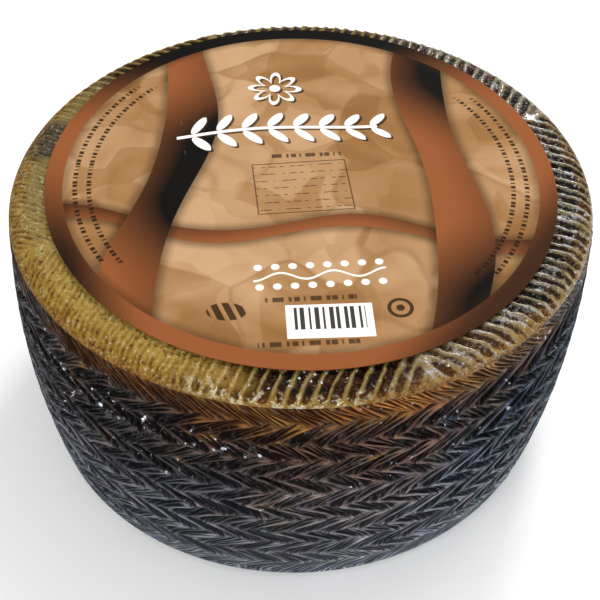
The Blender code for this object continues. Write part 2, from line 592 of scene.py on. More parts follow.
@dataclass
class WheelForm:
    """The sizes of the wheel and the places of its relief, as in its solid."""

    radius: float = 0.0967  # of the side's upper edge
    height: float = 0.1034
    belly: float = 0.0033  # how far the side swells out
    taper: float = 0.0020  # how much narrower the base is
    top_round: float = 0.0066  # radius of the top's rounded edge
    base_round: float = 0.0067
    oval_along: float = 0.0138  # how oval the wheel is, as shares of its radius
    oval_askew: float = 0.0126
    lumps: float = 0.0004
    plait_margin: float = 0.0042  # from the top down to the first row
    plait_base: float = 0.0040  # from the base up to the last row
    row_pairs: int = 6
    falling_share: float = 0.45  # of a pair's height
    blades: int = 60  # hollows in a row
    blade_slope: float = math.radians(36.0)
    blade_depth: float = 0.0019
    ridge_dip: float = 0.0003
    seam_wave: float = 0.0010  # how far the seams wave up and down
    wander: float = 0.16  # how far the columns stray, in hollows
    ribs: int = 35  # in a quarter
    rib_axis: float = math.radians(70.0)  # direction of the first quarter's ribs
    rib_depth: float = 0.0012
    rib_start: float = 0.0810  # radius where the ribs of the rim start
    rib_full: float = 0.0840  # radius where they reach their depth
    rim: float = 0.0905  # radius of the flat of the rim
    spread: tuple[float, float] = (0.65, 1.25)  # of single depths
    seed: int = 7
    rows: list[PlaitRow] = field(init=False)
    rib_depths: np.ndarray = field(init=False)
    lump_waves: list[Wave] = field(init=False)
    wander_waves: list[Wave] = field(init=False)

    def __post_init__(self) -> None:
        """Draw the uneven depths and lay out the rows."""
        draw = random.Random(self.seed)
        columns = 2 * self.ribs * QUARTERS
        self.rib_depths = np.array([draw.uniform(*self.spread) for _ in range(columns)])
        self.lump_waves = self._waves(draw, (3, 5, 8), 1.5)
        self.wander_waves = self._waves(draw, (7, 11, 16), 4.0)
        pair = (self.height - self.plait_margin - self.plait_base) / self.row_pairs
        around = math.tau * self.radius / self.blades
        self.rows = []
        upper, drift = self.height - self.plait_margin, 0.0
        for index in range(2 * self.row_pairs):
            slant = Slant.RISING if index % 2 else Slant.FALLING
            share = self.falling_share if slant is Slant.FALLING else 1.0 - self.falling_share
            tall = pair * share
            travel = slant.value * tall / math.tan(self.blade_slope) / around
            depths = np.array([draw.uniform(*self.spread) for _ in range(2 * self.blades)])
            self.rows.append(PlaitRow(upper, tall, travel, drift, depths))
            upper -= tall
            drift += travel

    @staticmethod
    def _waves(draw: random.Random, cycles: Sequence[int], rise: float) -> list[Wave]:
        """Draw waves that run round the wheel.

        Args:
            draw: Where the random numbers come from.
            cycles: The cycles a turn of each wave.
            rise: The most cycles that a wave makes up the wheel.

        Returns:
            The waves.
        """
        return [(n, draw.uniform(-rise, rise), draw.uniform(0.0, math.tau)) for n in cycles]

    def ripple(self, waves: Sequence[Wave], angle: np.ndarray, height: np.ndarray) -> np.ndarray:
        """Return the mean of the waves, between -1 and 1.

        Args:
            waves: The waves.
            angle: The angle of each place.
            height: The height of each place.

        Returns:
            The mean at each place.
        """
        turn = math.tau * height / self.height
        return sum(np.sin(n * angle + up * turn + phase) for n, up, phase in waves) / len(waves)

    def oval(self, angle: np.ndarray) -> np.ndarray:
        """Return the radius at each angle as a share of the mean radius."""
        return 1.0 + self.oval_along * np.cos(2 * angle) + self.oval_askew * np.sin(2 * angle)

    def side_radius(self, height: np.ndarray) -> np.ndarray:
        """Return the radius of the bulged side, rounded at both edges.

        Args:
            height: The height of each place.

        Returns:
            The radius at each place.
        """
        top_centre = self.height - self.top_round
        fall = (top_centre - height) / (top_centre - self.base_round)
        belly = self.radius + 4.0 * self.belly * fall * (1.0 - fall) - self.taper * fall
        up = np.clip(height - top_centre, 0.0, self.top_round)
        upper = self.radius - self.top_round + np.sqrt(self.top_round**2 - up**2)
        down = np.clip(self.base_round - height, 0.0, self.base_round)
        lower = self.radius - self.taper - self.base_round + np.sqrt(self.base_round**2 - down**2)
        return np.where(fall < 0.0, upper, np.where(fall > 1.0, lower, belly))

    def start_angle(self) -> float:
        """Return the angle at which the columns of the plait are counted from."""
        return self.rib_axis - HALF_QUARTER

    def rib_place(
        self, radius: np.ndarray, angle: np.ndarray
    ) -> tuple[np.ndarray, np.ndarray, np.ndarray]:
        """Find where places of the board's ribbed face lie across its ribs.

        Args:
            radius: The radius of each place.
            angle: Its angle.

        Returns:
            The place across the ribs, counted in ribs, the number of the
            quarter, and how far the place is from the quarter's end.
        """
        turn = (angle - self.start_angle()) / (2.0 * HALF_QUARTER)
        quarter = np.floor(turn)
        lean = (turn - quarter - 0.5) * 2.0 * HALF_QUARTER
        widest = self.radius * math.sin(HALF_QUARTER)
        across = (radius * np.sin(lean) / widest + 1.0) / 2.0 * self.ribs
        edge = radius * np.sin(HALF_QUARTER - np.abs(lean))
        return across, np.mod(quarter, QUARTERS), edge


@dataclass(frozen=True)
class RibMould:
    """How the board's ribs press into a flat face.

    Attributes:
        form: The wheel's sizes.
        flat: How squarely a groove's floor meets its sides.
        round_off: How much less squarely it does where the ridges are round.
        wander: How far the grooves wander, in ribs.
        split_wander: How much farther they do where the ridges are split.
        split_flat: The same as flat for the grooves of split ridges.
        split_depth: Depth of those, as a share of the full depth.
        deepest: The greatest share of the full depth.
        mitre: How far the grooves stop short of the line between two quarters.
        slope: How far a groove takes to end there.
    """

    form: WheelForm
    flat: float = 1.7
    round_off: float = 0.75
    wander: float = 0.14
    split_wander: float = 0.10
    split_flat: float = 1.4
    split_depth: float = 0.50
    deepest: float = 1.3
    mitre: float = 0.0007
    slope: float = 0.0020

    def groove(
        self,
        radius: np.ndarray,
        angle: np.ndarray,
        rough: np.ndarray,
        round_share: np.ndarray | float = 0.0,
        split: np.ndarray | float = 0.0,
    ) -> np.ndarray:
        """Return how deep the grooves are, as a share of the full depth.

        Args:
            radius: The radius of each place.
            angle: Its angle.
            rough: Noise that makes the grooves wander and end unevenly.
            round_share: How far the ridges are broad and round.
            split: How far each ridge is split into two shallow ones.

        Returns:
            The share, 0 on a ridge.
        """
        across, quarter, edge = self.form.rib_place(radius, angle)
        across = across + (self.wander + self.split_wander * split) * rough
        rib = np.floor(across + TINY)
        phase = across - rib
        index = (rib + quarter * self.form.ribs).astype(int) * 2 + 1
        depth = self.form.rib_depths[np.mod(index, len(self.form.rib_depths))]
        share = 1.0 - np.abs(2.0 * phase - 1.0) ** (self.flat - self.round_off * round_share)
        half = 2.0 * np.mod(2.0 * across, 1.0) - 1.0
        shallow = 1.0 - np.abs(half) ** self.split_flat
        share = share * depth * (1.0 - split) + self.split_depth * shallow * split
        end = np.clip((edge - self.mitre * (1.0 + 3.0 * rough)) / self.slope, 0.0, 1.0)
        return np.clip(share * end, 0.0, self.deepest)


@dataclass(frozen=True)
class RimWear:
    """How the imprint of the ribs changes round the rim.

    Attributes:
        form: The wheel's sizes.
        left_axis: The angle opposite the stretch whose ribs are split.
        corner_axis: The angle of the quarters' end whose ribs are rounder.
        coarse: Scale of the noise that makes the ribs wander.
        grainy: Scale of the noise that makes them rough.
        reach: How far the ribs go out past the start of the rounded edge.
        stray: How far they end sooner or later by the noise.
        end_slope: How far a rib takes to end there.
        still: How far from the rim's own edge all relief fades out.
        lump: Depth of the coarse lumps.
        grain_depths: Depth of the grain everywhere, more on the left, on the right.
    """

    form: WheelForm
    left_axis: float = math.radians(26.0)
    corner_axis: float = math.radians(-57.0)
    coarse: float = 240.0
    grainy: float = 640.0
    reach: float = 0.0051
    stray: float = 0.0018
    end_slope: float = 0.0010
    still: float = 0.0012
    lump: float = 0.00018
    grain_depths: tuple[float, float, float] = (0.00010, 0.00016, 0.00008)

    def press(
        self, places: np.ndarray, radius: np.ndarray, angle: np.ndarray, rim: float
    ) -> tuple[np.ndarray, np.ndarray]:
        """Work out the relief of the ribbed rim.

        Args:
            places: The places on the plain rim.
            radius: Their radius.
            angle: Their angle.
            rim: The radius at which all relief has faded.

        Returns:
            The depth of the grooves, as a share of the full depth, and the
            depth of the lumps in metres.
        """
        form = self.form
        rough = soft_noise(places, self.coarse)
        grainy = soft_noise(places, self.grainy)
        start = ramp(radius, form.rib_start, form.rib_full - form.rib_start)
        left = ramp(0.1 * rough - np.cos(angle - self.left_axis), 0.54, 0.22)
        right = ramp(np.cos(angle), 0.3, 0.4)
        corner = ramp(np.cos(angle - self.corner_axis), 0.93, 0.05)
        still = ramp(rim - radius, 0.0, self.still)
        end = form.radius - form.top_round + self.reach + self.stray * rough - 0.0008 * right
        ended = ramp(radius - end, 0.0, self.end_slope)
        fade = 1.0 - (0.6 - 0.4 * right) * ended * (1.0 - 0.8 * left)
        dip = RibMould(form).groove(radius, angle, rough, 0.6 * right + 0.2 * corner, 0.85 * left)
        dip *= 1.0 - 0.15 * corner
        dip *= start * fade * still * (1.0 + 0.3 * rough + 0.4 * left * grainy)
        plain, more_left, more_right = self.grain_depths
        lumps = (plain + more_left * left + more_right * right) * (1.0 + grainy)
        lumps += self.lump * (1.0 + rough)
        return dip, start * still * lumps


@dataclass
class PressedFace:
    """A round face gridded along the press board's ribs.

    Attributes:
        form: The wheel's sizes.
        lines_per_rib: How many lines of points each rib has.
        lap: How far the top's grid goes in past the start of its ribs.
        ring_step: How far apart its flat rings lie.
        flat_rings: How many of them there are.
        round_rings: How many rings its rounded edge has.
        base_rings: How many rings the base has.
        hub: Radius of the plain middle of the base.
    """

    form: WheelForm
    lines_per_rib: int = 10
    lap: float = 0.001
    ring_step: float = 0.0006
    flat_rings: int = 16
    round_rings: int = 14
    base_rings: int = 44
    hub: float = 0.0012

    def disc(self, name: str, radii: Sequence[float]) -> bpy.types.Object:
        """Model a flat face whose lines follow the ribs of its quarters.

        Args:
            name: The object's name.
            radii: The radius of each ring, from the inside out.

        Returns:
            The open face, with an open middle.
        """
        form = self.form
        lines, rings = form.ribs * self.lines_per_rib, len(radii) - 1
        bpy.ops.object.select_all(action="DESELECT")
        bpy.ops.mesh.primitive_grid_add(x_subdivisions=lines, y_subdivisions=rings, size=2.0)
        face = bpy.context.object
        face.name = face.data.name = name
        places = points_of(face)
        line = np.rint((places[:, 0] + 1.0) / 2.0 * lines)
        ring = np.rint((places[:, 1] + 1.0) / 2.0 * rings).astype(int)
        reach = np.array(radii)[ring]
        half = math.sqrt(0.5)
        across = form.radius * half * (2.0 * line / lines - 1.0)
        # A line that would pass the end of its quarter on this ring stops there.
        corner = np.minimum(np.abs(across), radii[-1] * half)
        free = corner <= reach * half
        along = np.where(free, np.sqrt(np.maximum(reach**2 - across**2, 0.0)), corner)
        across = np.where(free, across, np.sign(across) * corner)
        turn = form.rib_axis
        places[:, 0] = along * math.cos(turn) - across * math.sin(turn)
        places[:, 1] = along * math.sin(turn) + across * math.cos(turn)
        places[:, 2] = 0.0
        move_points(face, places)
        start_edit(face)
        bpy.ops.mesh.select_all(action="SELECT")
        for _ in range(QUARTERS - 1):
            bpy.ops.mesh.duplicate()
            bpy.ops.transform.rotate(value=math.tau / QUARTERS, orient_axis="Z", **AROUND_AXIS)
        bpy.ops.mesh.select_all(action="SELECT")
        bpy.ops.mesh.remove_doubles(threshold=2.0 * TINY)
        end_edit()
        return face

    def close(self, face: bpy.types.Object, inwards: float, depth: float) -> None:
        """Fold the rim of a pressed face under and close it.

        Args:
            face: The face, whose middle and rim are open.
            inwards: How far its rim folds in, as a share of its radius.
            depth: How far the fold goes along Z.
        """
        reach = points_of(face)
        rim = 0.9 * np.hypot(reach[:, 0], reach[:, 1]).max()
        start_edit(face)
        bpy.ops.mesh.select_non_manifold(extend=False)
        end_edit()
        for vertex in face.data.vertices:
            if math.hypot(vertex.co.x, vertex.co.y) > rim:
                vertex.select = False
        self._keep_edges(face)
        bpy.ops.object.mode_set(mode="EDIT")
        bpy.ops.mesh.edge_face_add()
        bpy.ops.mesh.select_all(action="DESELECT")
        bpy.ops.mesh.select_non_manifold(extend=False)
        bpy.ops.mesh.extrude_region_move(TRANSFORM_OT_translate={"value": (0.0, 0.0, depth)})
        share = 1.0 - inwards
        bpy.ops.transform.resize(value=(share, share, 1.0), **AROUND_AXIS)
        bpy.ops.mesh.edge_face_add()
        bpy.ops.mesh.select_all(action="SELECT")
        bpy.ops.mesh.normals_make_consistent(inside=False)
        end_edit()

    @staticmethod
    def _keep_edges(face: bpy.types.Object) -> None:
        """Select just the edges whose two ends are both selected."""
        chosen = {vertex.index for vertex in face.data.vertices if vertex.select}
        for edge in face.data.edges:
            edge.select = edge.select and all(end in chosen for end in edge.vertices)
        for polygon in face.data.polygons:
            polygon.select = False

    def _finish(
        self,
        face: bpy.types.Object,
        places: np.ndarray,
        angle: np.ndarray,
        dip: np.ndarray,
        fold: tuple[float, float],
    ) -> bpy.types.Object:
        """Move a face's points, keep its grooves for the material and close it.

        Args:
            face: The open face.
            places: Where its points go on a round wheel.
            angle: The angle of each point.
            dip: How deep each lies in a groove.
            fold: How far its rim folds in, as a share, and along Z.

        Returns:
            The closed face.
        """
        places[:, :2] *= self.form.oval(angle)[:, None]
        move_points(face, places)
        keep_number(face, "sunk", dip)
        self.close(face, *fold)
        face.data.shade_smooth()
        return face

    def top(self, lowest: float) -> bpy.types.Object:
        """Model the top with its ribbed rim and its rounded edge.

        Args:
            lowest: The height at which the plait takes over.

        Returns:
            The closed top.
        """
        form = self.form
        centre = form.radius - form.top_round
        tilt = math.acos(1.0 - (form.height - lowest) / form.top_round)
        radii = [form.rib_start - self.lap + self.ring_step * k for k in range(self.flat_rings)]
        radii += [
            centre + form.top_round * math.sin(tilt * k / self.round_rings)
            for k in range(1, self.round_rings + 1)
        ]
        face = self.disc("pressed_top", radii)
        places = points_of(face)
        radius, angle = polar(places)
        share = ramp(radius, centre, form.top_round)
        dip, lumps = RimWear(form).press(places, radius, angle, radii[-1] - 0.0002)
        places[:, 2] = form.height - form.top_round * (1.0 - np.sqrt(1.0 - share**2))
        places[:, 2] -= form.rib_depth * dip + lumps
        return self._finish(face, places, angle, dip, (0.012, -0.0012))

    def base(self, radius: float, ceiling: float) -> bpy.types.Object:
        """Model the ribbed base.

        Args:
            radius: The base's radius.
            ceiling: The height that it is closed at, inside the wheel.

        Returns:
            The closed base.
        """
        form = self.form
        width, rings = radius - self.hub, self.base_rings
        radii = [self.hub + width * k / rings for k in range(rings + 1)]
        face = self.disc("pressed_base", radii)
        places = points_of(face)
        reach, angle = polar(places)
        rough = soft_noise(places, 160.0)
        fade = ramp(radius - 0.0008 - reach, 0.0, 0.0030) * ramp(reach, self.hub, 0.002)
        dip = RibMould(form).groove(reach, angle, rough) * fade * (1.0 + 0.3 * rough)
        places[:, 2] = form.rib_depth * dip + fade * 0.00014 * (1.0 + rough)
        return self._finish(face, places, angle, dip, (0.0, ceiling))


@dataclass
class Rind:
    """The wheel's body with its plaited side.

    Attributes:
        form: The wheel's sizes.
        columns_per_blade: How many columns of points each hollow has.
        row_shares: Where a row's rings lie, as shares of its height.
        painted_light_by_ring: Painted light and shade on each of those rings, from 1, lighter at a
            row's upper seam, to -1, darker at its lower seam.
        row_wear: Depth of the hollows by row, as rows and shares.
        strand_wear: Height of the strands by row, as rows and shares.
        strands: How many strands a hollow has.
        strand_height: Their height.
        stray_up: How far the seams stray up and down.
        stray_along: How far the columns stray, in hollows.
        leaf_blunt: How bluntly a hollow ends at the seams.
        leaf_wall: How steep its walls are.
        recess_radius: Radius of the opening that the base fills.
        recess_depth: Its depth.
    """

    form: WheelForm
    columns_per_blade: int = 24
    row_shares: tuple[float, ...] = (0.0, 0.14, 0.38, 0.62, 0.86)
    painted_light_by_ring: tuple[float, ...] = (1.0, 0.5, 0.0, -0.35, -1.0)
    row_wear: tuple[tuple[float, ...], ...] = (
        (0, 1, 7, 9, 10, 11),
        (0.15, 1.0, 1.0, 0.66, 0.42, 0.25),
    )
    strand_wear: tuple[tuple[float, ...], ...] = ((0, 8, 11), (1.0, 0.9, 0.32))
    strands: float = 5.0
    strand_height: float = 0.00042
    stray_up: float = 0.0011
    stray_along: float = 0.22
    leaf_blunt: float = 4.2
    leaf_wall: float = 4.6
    recess_radius: float = 0.0868
    recess_depth: float = 0.0019

    def outline(self) -> list[tuple[float, float]]:
        """Return the radius and height of each ring, from the top inwards edge."""
        form = self.form
        first = form.rows[0].upper
        rings = [(form.radius - 0.0050, first + 0.0006), (form.radius - 0.0015, first + 0.0005)]
        for row in form.rows:
            for share in self.row_shares:
                height = row.upper - share * row.tall
                rings.append((float(form.side_radius(np.array(height))), height))
        centre, round_edge = form.radius - form.taper - form.base_round, form.base_round
        for degrees in (24.0, 45.0, 68.0, 90.0):
            tilt = math.radians(degrees)
            rings.append(
                (centre + round_edge * math.cos(tilt), round_edge * (1.0 - math.sin(tilt)))
            )
        rings.append((self.recess_radius, 0.0))
        rings.append((self.recess_radius - 0.0001, self.recess_depth))
        return rings

    def build(self) -> bpy.types.Object:
        """Model the wheel and press its relief.

        Returns:
            The wheel.
        """
        form = self.form
        shell = turned_shell("cheese_rind", form.blades * self.columns_per_blade, self.outline())
        places = points_of(shell)
        radius, angle = polar(places)
        height = places[:, 2]
        side = (height > form.plait_base - 1e-5) & (radius > form.radius - form.taper - 0.0006)
        side &= height < form.rows[0].upper + 1e-5
        plain = {"sunk": 0.0, "strand": 0.5, "slant": 0.5, "bundled": 0.6, "painted_row_light": 0.0}
        marks = {name: np.full(len(places), value) for name, value in plain.items()}
        # The plain foot turns along with the last row, so that no column shears.
        last = form.rows[-1]
        foot_turn = (last.drift + last.travel) * math.tau / form.blades
        turned = angle + np.where(height < form.plait_base, foot_turn, 0.0)
        reach = radius * form.oval(turned)
        out = places.copy()
        out[:, 0], out[:, 1] = reach * np.cos(turned), reach * np.sin(turned)
        self._press_side(side, angle, height, out, marks)
        out[:, 2] = np.maximum(out[:, 2], 0.0)
        move_points(shell, out)
        keep_vector(shell, "weave", places)
        for name, values in marks.items():
            keep_number(shell, name, values)
        shell.data.shade_smooth()
        return shell

    def _leaf(self, phase: np.ndarray, share: np.ndarray, depths: np.ndarray) -> np.ndarray:
        """Return the shape of the leaf-shaped hollows.

        Args:
            phase: Where each place lies across its column, from 0 to 1.
            share: Where it lies down its row, from 0 to 1.
            depths: The depth of its column, which also skews the hollow.

        Returns:
            1 on a hollow's floor and 0 on the ridges round it.
        """
        skewed = 2.0 * phase - 1.0
        skewed = skewed + (0.2 + 0.6 * (depths - 0.95)) * (1.0 - skewed**2)
        width = np.clip(1.0 - np.abs(2.0 * share - 1.0) ** self.leaf_blunt, 0.0, 1.0) ** 0.55
        return np.clip(1.0 - (np.abs(skewed) / (width * 0.99 + 0.02)) ** self.leaf_wall, 0.0, 1.0)

    def _press_side(
        self,
        here: np.ndarray,
        angle: np.ndarray,
        height: np.ndarray,
        out: np.ndarray,
        marks: dict[str, np.ndarray],
    ) -> None:
        """Press the plaited band into the side.

        Args:
            here: Which points belong to the side.
            angle: The plain angle of each point, which stays with its column.
            height: Its plain height.
            out: The places to fill in.
            marks: What the material reads, to fill in.
        """
        form = self.form
        a0, h0 = angle[here], height[here]
        flat = out[here]
        blade = math.tau / form.blades
        # The row of each point, and the column of hollows or ridges in it.
        count = np.mod(a0 - form.start_angle(), math.tau) / math.tau * form.blades
        uppers = np.array([row.upper for row in form.rows])
        index = np.searchsorted(-uppers, -(h0 + TINY), side="right") - 1
        index = np.clip(index, 0, len(uppers) - 1)
        tall, travel, drift = (
            np.array([getattr(row, name) for row in form.rows])[index]
            for name in ("tall", "travel", "drift")
        )
        share = np.clip((uppers[index] - h0) / tall, 0.0, 1.0)
        odd = index % 2
        place = count + 0.5 * odd + TINY
        phase = place - np.floor(place)
        column = (2 * np.floor(place).astype(int) + 1 - odd) % (2 * form.blades)
        depths = np.stack([row.depths for row in form.rows])[index, column]
        broad = soft_noise(flat, 38.0, 2)
        small = soft_noise(flat, 260.0, 2)
        # Where the point goes along and up the side.
        wave = -np.cos(math.tau * phase) * form.seam_wave * (1.0 - 2.0 * share)
        wave = np.where((index == 0) & (share < 1e-3), 0.0, wave)
        h = h0 + wave + self.stray_up * soft_noise(flat, 48.0, 2) * ramp(uppers[0] - h0, 0.0, 0.006)
        a = form.start_angle() + (count + drift + travel * share) * blade
        stray = form.wander * form.ripple(form.wander_waves, a, h)
        a = a + (stray + self.stray_along * soft_noise(flat + 1.0, 60.0, 2)) * blade
        # How deep it is pressed in: the hollow, the ridge's dip, the strands and a grain.
        worn = np.interp(index, *self.row_wear)
        leaf = self._leaf(phase, share, depths)
        dip = depths * worn * leaf * (1.0 + 0.5 * broad + 0.2 * small)
        between = np.sin(math.pi * share)
        seam = between**0.35
        strand = np.cos(math.tau * self.strands * (phase + 0.02 * small))
        lively = np.interp(index, *self.strand_wear) * (1.0 + 0.4 * small)
        depth = form.blade_depth * dip + form.ridge_dip * between * (1.0 - leaf)
        depth -= self.strand_height * strand * seam * (0.4 + 0.6 * leaf) * lively
        depth += 0.00010 * (1.0 + small)
        swell = form.lumps * form.ripple(form.lump_waves, a, h)
        reach = (form.side_radius(h) + swell - depth) * form.oval(a)
        out[here, 0], out[here, 1], out[here, 2] = reach * np.cos(a), reach * np.sin(a), h
        marks["sunk"][here] = dip
        marks["strand"][here] = 0.5 + 0.5 * strand * seam + 0.3 * (1.0 - seam)
        marks["slant"][here] = odd
        # Painted light and shade: each row is lighter at its upper seam and darker at its lower
        # one, as light from above falls on a rope.
        marks["painted_row_light"][here] = np.interp(share, self.row_shares, self.painted_light_by_ring)
        marks["bundled"][here] = worn


@dataclass(frozen=True)
class Tint:
    """The pale ridges and the dark hollows of one stretch of rind."""

    ridge: Colour
    hollow: Colour


class SideZones:
    """Fields that tell the stretches of the plaited side apart."""

    cloud_scale: float = 42.0
    patch_scale: float = 95.0

    def __init__(self, graph: Graph, form: WheelForm) -> None:
        """Lay out the stretches.

        Args:
            graph: The material's graph.
            form: The wheel's sizes.
        """
        self.place = graph.place()
        x, y, self.z = graph.parts(self.place)
        self.sine = y / form.radius  # -1 in front and 1 at the back
        self.cloud = graph.grain(self.place, self.cloud_scale, 2.0)
        self.patch = graph.grain(self.place, self.patch_scale, 3.0)
        cloudy, patchy = self.cloud - 0.5, self.patch - 0.5
        self.side = x / form.radius + cloudy * 0.9  # -1 on the left and 1 on the right
        self.across = self.side.rise(-0.3, 0.6)
        self.foot = (self.z + cloudy * 0.02).fall(0.004, 0.075)
        ends = self.side.rise(-1.05, -0.65) * self.side.fall(0.72, 1.05)
        upper = (self.z + patchy * 0.012 + cloudy * 0.012).rise(0.084, 0.097)
        self.brown = upper * (ends * 0.85 + 0.15)
        # Painted shade: the brown and the umber are darker on the left and at the back.
        self.lit = self.side.rise(-0.7, 0.2) * 0.5 + 0.5
        self.lit = self.lit * (self.sine.fall(-0.6, 0.3) * 0.4 + 0.6)


@dataclass(frozen=True)
class SideFinish:
    """The plaited side: dark and oiled, brown at its top edge, grey at its foot, with painted
    light, shade and glints.
    """

    left: Tint = Tint(srgb(80, 78, 82), srgb(6, 4, 5))
    front: Tint = Tint(srgb(106, 86, 78), srgb(15, 8, 7))
    right: Tint = Tint(srgb(96, 105, 116), srgb(6, 12, 19))
    brown: Tint = Tint(srgb(154, 103, 50), srgb(44, 18, 5))
    hazel: Tint = Tint(srgb(132, 103, 62), srgb(30, 16, 8))
    umber: Tint = Tint(srgb(84, 59, 40), srgb(11, 5, 4))
    # The foot's pale grey is partly painted light, as bounced up from the floor.
    foot: Tint = Tint(srgb(126, 130, 137), srgb(38, 41, 47))
    amber: Colour = srgb(154, 114, 58)
    blue: Colour = srgb(50, 78, 110)
    oil_bead_and_painted_glint: Colour = srgb(226, 232, 244)
    hue_scale: float = 140.0
    hue_spread: float = 0.36
    bead_scale: float = 520.0
    fibre_scale: float = 820.0
    fibre_stretch: float = 0.10
    hair_scale: float = 2000.0
    hair_stretch: float = 0.14
    specular: float = 0.04
    roughness: float = 0.45
    coat_roughness: float = 0.12
    bump: float = 0.0005

    def material(self, form: WheelForm) -> bpy.types.Material:
        """Return the side's material.

        Args:
            form: The wheel's sizes.

        Returns:
            The material.
        """
        graph = Graph("plaited_rind")
        zones = SideZones(graph, form)
        weave = graph.attribute("weave", vector=True)
        lengthwise = graph.stretched(weave, (1.0, 1.0, self.fibre_stretch))
        fibre = graph.grain(lengthwise, self.fibre_scale, 2.0)
        lengthwise = graph.stretched(weave, (1.0, 1.0, self.hair_stretch))
        hair = graph.grain(lengthwise, self.hair_scale, 1.0)
        hollow, ridge = self._tints(graph, zones)
        colour = graph.mix(self._tone(graph, zones, fibre, hair), hollow, ridge)
        colour = graph.hued(colour, zones.place, self.hue_scale, self.hue_spread)
        # Beads of oil along the third row, and a few of them everywhere else, each with a painted
        # glint.
        oil_bead_and_painted_glint = graph.grain(zones.place, self.bead_scale, 1.0)
        third = form.rows[2]
        band = (zones.z - third.upper + third.tall * 0.5).size().fall(0.002, 0.004)
        oil_drops_with_painted_glints = band * (zones.side + 0.42).size().fall(0.22, 0.42)
        oil_drops_with_painted_glints = oil_drops_with_painted_glints * zones.sine.fall(-0.6, -0.3) * 1.5
        wet = (oil_drops_with_painted_glints + zones.foot.fall(0.1, 0.8) * 0.35) * oil_bead_and_painted_glint.rise(0.54, 0.62)
        stray = zones.foot.fall(0.1, 0.7) * zones.patch.rise(0.55, 0.6) * oil_bead_and_painted_glint.rise(0.69, 0.74)
        # Painted glints: pale blue-white specks painted into the base colour on the oil beads.
        painted_bead_glint = oil_drops_with_painted_glints * oil_bead_and_painted_glint.rise(0.665, 0.72) * 0.8 + stray * 0.6
        colour = graph.mix(painted_bead_glint, colour, self.oil_bead_and_painted_glint)
        height = fibre * 0.9 + hair * 0.3 + oil_bead_and_painted_glint * wet * 0.8
        return graph.finish(
            {
                "Specular IOR Level": self.specular,
                "Roughness": self.roughness,
                "Coat Roughness": self.coat_roughness,
            },
            {"Base Color": colour, "Coat Weight": wet.share()},
            height,
            self.bump,
        )

    @staticmethod
    def _gains(zones: SideZones) -> tuple[Field, Field]:
        """Return how much lighter the hollows and the ridges are by stretch.

        Args:
            zones: The stretches of the side.

        Returns:
            The gain of the hollows and of the ridges.
        """
        z, side = zones.z, zones.side
        # Painted light: the foot is lighter, most on the right, as light bounced up from the floor
        # would make it.
        low = z.fall(0.004, 0.022) * (zones.across * 0.9 + 0.4) + 1.0
        mid = z.rise(0.050, 0.064) * z.fall(0.080, 0.088)
        beside = (side - 0.15).size().fall(0.05, 0.40)
        low = low + mid * (beside * 0.4 - side.fall(-0.5, -0.15) * 0.2)
        waist = z.rise(0.018, 0.028) * z.fall(0.056, 0.066)
        lift = low + (side - 0.42).size().fall(0.05, 0.5) * 0.65 + waist * 0.35
        return low, lift + mid * beside * 0.35

    def _tints(self, graph: Graph, zones: SideZones) -> tuple[Field, Field]:
        """Return the colour of the hollows and of the ridges.

        Args:
            graph: The material's graph.
            zones: The stretches of the side.

        Returns:
            Both colours.
        """
        side, patch, cloud = zones.side, zones.patch, zones.cloud
        middle = (side - 0.12).size().fall(0.15, 0.55) * zones.sine.fall(-0.5, 0.1)
        umber = zones.z + (patch - 0.5) * 0.030 + (side - 0.3).size().fall(0.1, 0.5) * 0.010
        umber = umber.rise(0.066, 0.090) * (1.0 - zones.across * 0.45) * side.rise(-0.85, -0.25)
        tints = []
        for name, gain in zip(("hollow", "ridge"), self._gains(zones)):
            colour = graph.mix(zones.across, getattr(self.left, name), getattr(self.right, name))
            colour = graph.mix(middle * 0.9, colour, getattr(self.front, name))
            colour = graph.mix(zones.foot, colour, getattr(self.foot, name))
            below = graph.tint(getattr(self.umber, name), zones.lit)
            colour = graph.mix(umber, colour, below)
            share = side.rise(0.3, 0.75)
            upper = graph.mix(share, getattr(self.brown, name), getattr(self.hazel, name))
            colour = graph.mix(zones.brown, colour, graph.tint(upper, zones.lit))
            tints.append(graph.tint(colour, gain))
        hollow, ridge = tints
        amber = patch.rise(0.54, 0.68) * cloud.rise(0.42, 0.6) * zones.foot.fall(0.2, 0.7)
        ridge = graph.mix(amber * (0.25 + middle * 0.75), ridge, self.amber)
        blue = patch.rise(0.49, 0.62) * zones.across * cloud.fall(0.44, 0.58)
        blue = blue * zones.foot.fall(0.3, 0.9) * zones.brown.fall(0.1, 0.6)
        return hollow, graph.mix(blue * 0.8, ridge, self.blue)

    @staticmethod
    def _tone(graph: Graph, zones: SideZones, fibre: Field, hair: Field) -> Field:
        """Return where the ridge's colour shows and where the hollow's.

        Args:
            graph: The material's graph.
            zones: The stretches of the side.
            fibre: Noise drawn out along the strands.
            hair: Finer noise drawn out along them.

        Returns:
            0 for the hollow's colour and 1 for the ridge's.
        """
        line = graph.attribute("strand")
        bundled = graph.attribute("bundled")
        sunk = graph.attribute("sunk")
        rising = graph.attribute("slant")
        leaf = sunk.rise(0.04, 0.45)
        # Painted shade: the falling rows on the left and the rising rows on the right are darker,
        # as the light falls across their hollows.
        painted_shade_rows = rising * zones.across + (1.0 - rising) * (1.0 - zones.across)
        tone = bundled * 0.62 + line * (0.80 - bundled * 0.46) - leaf * (0.76 - line * 0.50)
        tone = tone + (fibre - 0.5) * 1.5 + (hair - 0.5) * 0.6
        tone = tone + (zones.patch - 0.5) * 0.4 - painted_shade_rows * 0.16
